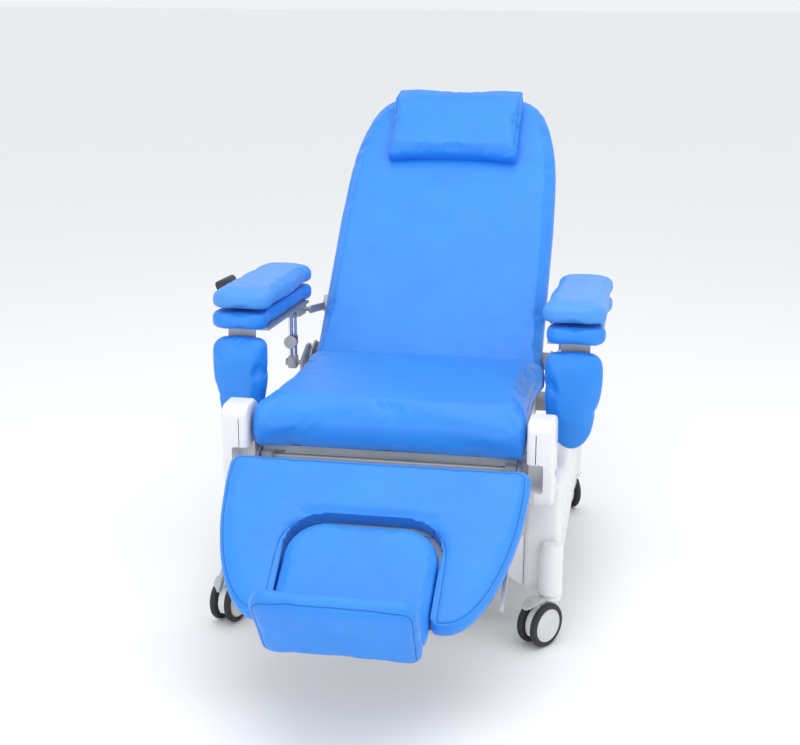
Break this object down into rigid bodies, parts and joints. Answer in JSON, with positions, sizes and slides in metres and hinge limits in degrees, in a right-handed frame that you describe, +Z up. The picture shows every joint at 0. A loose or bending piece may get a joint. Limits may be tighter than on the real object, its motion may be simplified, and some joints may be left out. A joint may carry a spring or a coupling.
{
  "type": "patient recliner chair",
  "caption": "Mobile patient recliner with upholstered seat, backrest, head pillow and armrests, a lifting leg rest with foot board, and braked swivel casters.",
  "frame": {"origin": "on the floor, at the centre of the bounding box's footprint", "axes": "+Z up; the seated person faces -Y; their right side is -X, where the handset hangs"},
  "size_m": [0.998, 1.8634, 1.1663],
  "materials": {
    "upholstery": "light blue coated upholstery fabric, satin",
    "white_plastic": "white moulded covers, semi-gloss",
    "grey_plastic": "light grey moulded plastic, satin",
    "black_plastic": "black moulded plastic, fine texture",
    "frame_steel": "silver grey powder coat",
    "bright_steel": "bright plated steel",
    "tyre": "black tread with light grey wheel discs"
  },
  "bodies": {
    "base": {"base_rail_left": "frame_steel", "base_rail_right": "frame_steel", "base_cross_front": "frame_steel", "base_cross_rear": "frame_steel", "base_shell_left": "white_plastic", "base_shell_right": "white_plastic", "base_panel_front": "white_plastic", "base_panel_rear": "white_plastic", "control_box": "black_plastic", "seat_rail_left": "frame_steel", "seat_rail_right": "frame_steel", "seat_cross_front": "frame_steel", "seat_cross_rear": "frame_steel", "leg_hinge_shaft": "frame_steel", "seat_board": "frame_steel", "seat_cushion": "upholstery", "hinge_cover_left": "white_plastic", "hinge_cover_right": "white_plastic"},
    "backrest": {"back_frame_left": "frame_steel", "back_frame_right": "frame_steel", "back_board": "white_plastic", "back_cushion": "upholstery", "head_pillow": "upholstery"},
    "leg_rest": {"leg_arm_left": "frame_steel", "leg_arm_right": "frame_steel", "leg_board": "grey_plastic", "leg_cushion": "upholstery"},
    "foot_rest": {"foot_carrier": "frame_steel", "calf_pad": "upholstery", "foot_pad": "upholstery"},
    "post_left": {"arm_post_left": "bright_steel"},
    "knob_left": {"arm_knob_left": "grey_plastic"},
    "armrest_left": {"arm_bar_left": "frame_steel", "arm_lower_pad_left": "upholstery", "arm_shield_left": "upholstery"},
    "arm_pad_left": {"arm_upper_pad_left": "upholstery", "handset": "black_plastic", "handset_holder": "black_plastic"},
    "post_right": {"arm_post_right": "bright_steel"},
    "knob_right": {"arm_knob_right": "grey_plastic"},
    "armrest_right": {"arm_bar_right": "frame_steel", "arm_lower_pad_right": "upholstery", "arm_shield_right": "upholstery"},
    "arm_pad_right": {"arm_upper_pad_right": "upholstery"},
    "back_actuator": {"back_actuator_housing": "black_plastic"},
    "back_piston": {"back_actuator_rod": "bright_steel"},
    "leg_actuator": {"leg_actuator_housing": "black_plastic"},
    "leg_piston": {"leg_actuator_rod": "bright_steel"},
    "caster_front_left": {"caster_yoke_front_left": "white_plastic"},
    "wheels_front_left": {"caster_wheels_front_left": "tyre"},
    "pedal_front_left": {"caster_pedal_front_left": "grey_plastic"},
    "caster_front_right": {"caster_yoke_front_right": "white_plastic"},
    "wheels_front_right": {"caster_wheels_front_right": "tyre"},
    "pedal_front_right": {"caster_pedal_front_right": "grey_plastic"},
    "caster_rear_left": {"caster_yoke_rear_left": "white_plastic"},
    "wheels_rear_left": {"caster_wheels_rear_left": "tyre"},
    "pedal_rear_left": {"caster_pedal_rear_left": "grey_plastic"},
    "caster_rear_right": {"caster_yoke_rear_right": "white_plastic"},
    "wheels_rear_right": {"caster_wheels_rear_right": "tyre"},
    "pedal_rear_right": {"caster_pedal_rear_right": "grey_plastic"}
  },
  "joints": [
    {"name": "back_recline", "type": "hinge", "parent": "base", "child": "backrest", "pos_m": [0.02312, 0.27238, 0.48935], "axis": [-1, 0, 0], "range_deg": [-30, 44.4]},
    {"name": "leg_lift", "type": "hinge", "parent": "base", "child": "leg_rest", "pos_m": [0.02312, -0.31762, 0.41935], "axis": [-1, 0, 0], "range_deg": [-12, 32.5]},
    {"name": "foot_slide", "type": "slide", "parent": "leg_rest", "child": "foot_rest", "axis": [0, -0.8434, -0.5373], "range_m": [0, 0.08]},
    {"name": "arm_post_tilt_left", "type": "hinge", "parent": "base", "child": "post_left", "pos_m": [-0.33613, 0.21738, 0.49535], "axis": [-1, 0, 0], "range_deg": [-30, 44.4]},
    {"name": "arm_level_left", "type": "hinge", "parent": "post_left", "child": "armrest_left", "pos_m": [-0.33613, 0.21738, 0.63535], "axis": [-1, 0, 0], "range_deg": [-44.4, 30]},
    {"name": "arm_swivel_left", "type": "hinge", "parent": "armrest_left", "child": "arm_pad_left", "pos_m": [-0.37688, 0.27095, 0.69587], "axis": [0, 0.0576, 0.9983], "range_deg": [-20, 0]},
    {"name": "arm_knob_turn_left", "type": "hinge", "parent": "post_left", "child": "knob_left", "pos_m": [-0.33613, 0.20508, 0.55635], "axis": [0, -1, 0], "range_deg": [-180, 180]},
    {"name": "arm_post_tilt_right", "type": "hinge", "parent": "base", "child": "post_right", "pos_m": [0.38238, 0.21738, 0.49535], "axis": [-1, 0, 0], "range_deg": [-30, 44.4]},
    {"name": "arm_level_right", "type": "hinge", "parent": "post_right", "child": "armrest_right", "pos_m": [0.38238, 0.21738, 0.63535], "axis": [-1, 0, 0], "range_deg": [-44.4, 30]},
    {"name": "arm_swivel_right", "type": "hinge", "parent": "armrest_right", "child": "arm_pad_right", "pos_m": [0.42312, 0.27095, 0.69587], "axis": [0, 0.0576, 0.9983], "range_deg": [0, 20]},
    {"name": "arm_knob_turn_right", "type": "hinge", "parent": "post_right", "child": "knob_right", "pos_m": [0.38238, 0.20508, 0.55635], "axis": [0, -1, 0], "range_deg": [-180, 180]},
    {"name": "back_actuator_tilt", "type": "hinge", "parent": "base", "child": "back_actuator", "pos_m": [0.08313, -0.18262, 0.26935], "axis": [1, 0, 0], "range_deg": [-1.46, 2.14]},
    {"name": "back_actuator_slide", "type": "slide", "parent": "back_actuator", "child": "back_piston", "axis": [0, 0.9659, 0.259], "range_m": [-0.0661, 0.0448]},
    {"name": "leg_actuator_tilt", "type": "hinge", "parent": "base", "child": "leg_actuator", "pos_m": [-0.03687, 0.03738, 0.32435], "axis": [1, 0, 0], "range_deg": [-9.8, 3.65]},
    {"name": "leg_actuator_slide", "type": "slide", "parent": "leg_actuator", "child": "leg_piston", "axis": [0, -0.9955, -0.0947], "range_m": [-0.0227, 0.0609]},
    {"name": "caster_swivel_front_left", "type": "hinge", "parent": "base", "child": "caster_front_left", "pos_m": [-0.35337, -0.29562, -0.00065], "axis": [0, 0, 1], "continuous": true},
    {"name": "caster_roll_front_left", "type": "hinge", "parent": "caster_front_left", "child": "wheels_front_left", "pos_m": [-0.36192, -0.32749, 0.05185], "axis": [0.9659, -0.2588, 0], "continuous": true},
    {"name": "caster_brake_front_left", "type": "hinge", "parent": "caster_front_left", "child": "pedal_front_left", "pos_m": [-0.36269, -0.33039, 0.11255], "axis": [0.9659, -0.2588, 0], "range_deg": [0, 15]},
    {"name": "caster_swivel_front_right", "type": "hinge", "parent": "base", "child": "caster_front_right", "pos_m": [0.39963, -0.29562, -0.00065], "axis": [0, 0, 1], "continuous": true},
    {"name": "caster_roll_front_right", "type": "hinge", "parent": "caster_front_right", "child": "wheels_front_right", "pos_m": [0.38023, -0.32232, 0.05185], "axis": [0.809, -0.5878, 0], "continuous": true},
    {"name": "caster_brake_front_right", "type": "hinge", "parent": "caster_front_right", "child": "pedal_front_right", "pos_m": [0.37846, -0.32474, 0.11255], "axis": [0.809, -0.5878, 0], "range_deg": [0, 15]},
    {"name": "caster_swivel_rear_left", "type": "hinge", "parent": "base", "child": "caster_rear_left", "pos_m": [-0.35337, 0.53238, -0.00065], "axis": [0, 0, 1], "continuous": true},
    {"name": "caster_roll_rear_left", "type": "hinge", "parent": "caster_rear_left", "child": "wheels_rear_left", "pos_m": [-0.34209, 0.56339, 0.05185], "axis": [-0.9397, 0.342, 0], "continuous": true},
    {"name": "caster_brake_rear_left", "type": "hinge", "parent": "caster_rear_left", "child": "pedal_rear_left", "pos_m": [-0.34106, 0.56621, 0.11255], "axis": [-0.9397, 0.342, 0], "range_deg": [0, 15]},
    {"name": "caster_swivel_rear_right", "type": "hinge", "parent": "base", "child": "caster_rear_right", "pos_m": [0.39963, 0.53238, -0.00065], "axis": [0, 0, 1], "continuous": true},
    {"name": "caster_roll_rear_right", "type": "hinge", "parent": "caster_rear_right", "child": "wheels_rear_right", "pos_m": [0.38312, 0.56096, 0.05185], "axis": [-0.866, -0.5, 0], "continuous": true},
    {"name": "caster_brake_rear_right", "type": "hinge", "parent": "caster_rear_right", "child": "pedal_rear_right", "pos_m": [0.38162, 0.56356, 0.11255], "axis": [-0.866, -0.5, 0], "range_deg": [0, 15]}
  ],
  "couplings": [
    {"joint": "arm_post_tilt_left", "follows": "back_recline", "ratio": 1},
    {"joint": "arm_level_left", "follows": "back_recline", "ratio": -1},
    {"joint": "arm_post_tilt_right", "follows": "back_recline", "ratio": 1},
    {"joint": "arm_level_right", "follows": "back_recline", "ratio": -1},
    {"joint": "back_actuator_tilt", "follows": "back_recline", "ratio": 0.047},
    {"joint": "back_actuator_slide", "follows": "back_recline", "m_per_rad": -0.085},
    {"joint": "leg_actuator_tilt", "follows": "leg_lift", "ratio": -0.3},
    {"joint": "leg_actuator_slide", "follows": "leg_lift", "m_per_rad": 0.107}
  ]
}
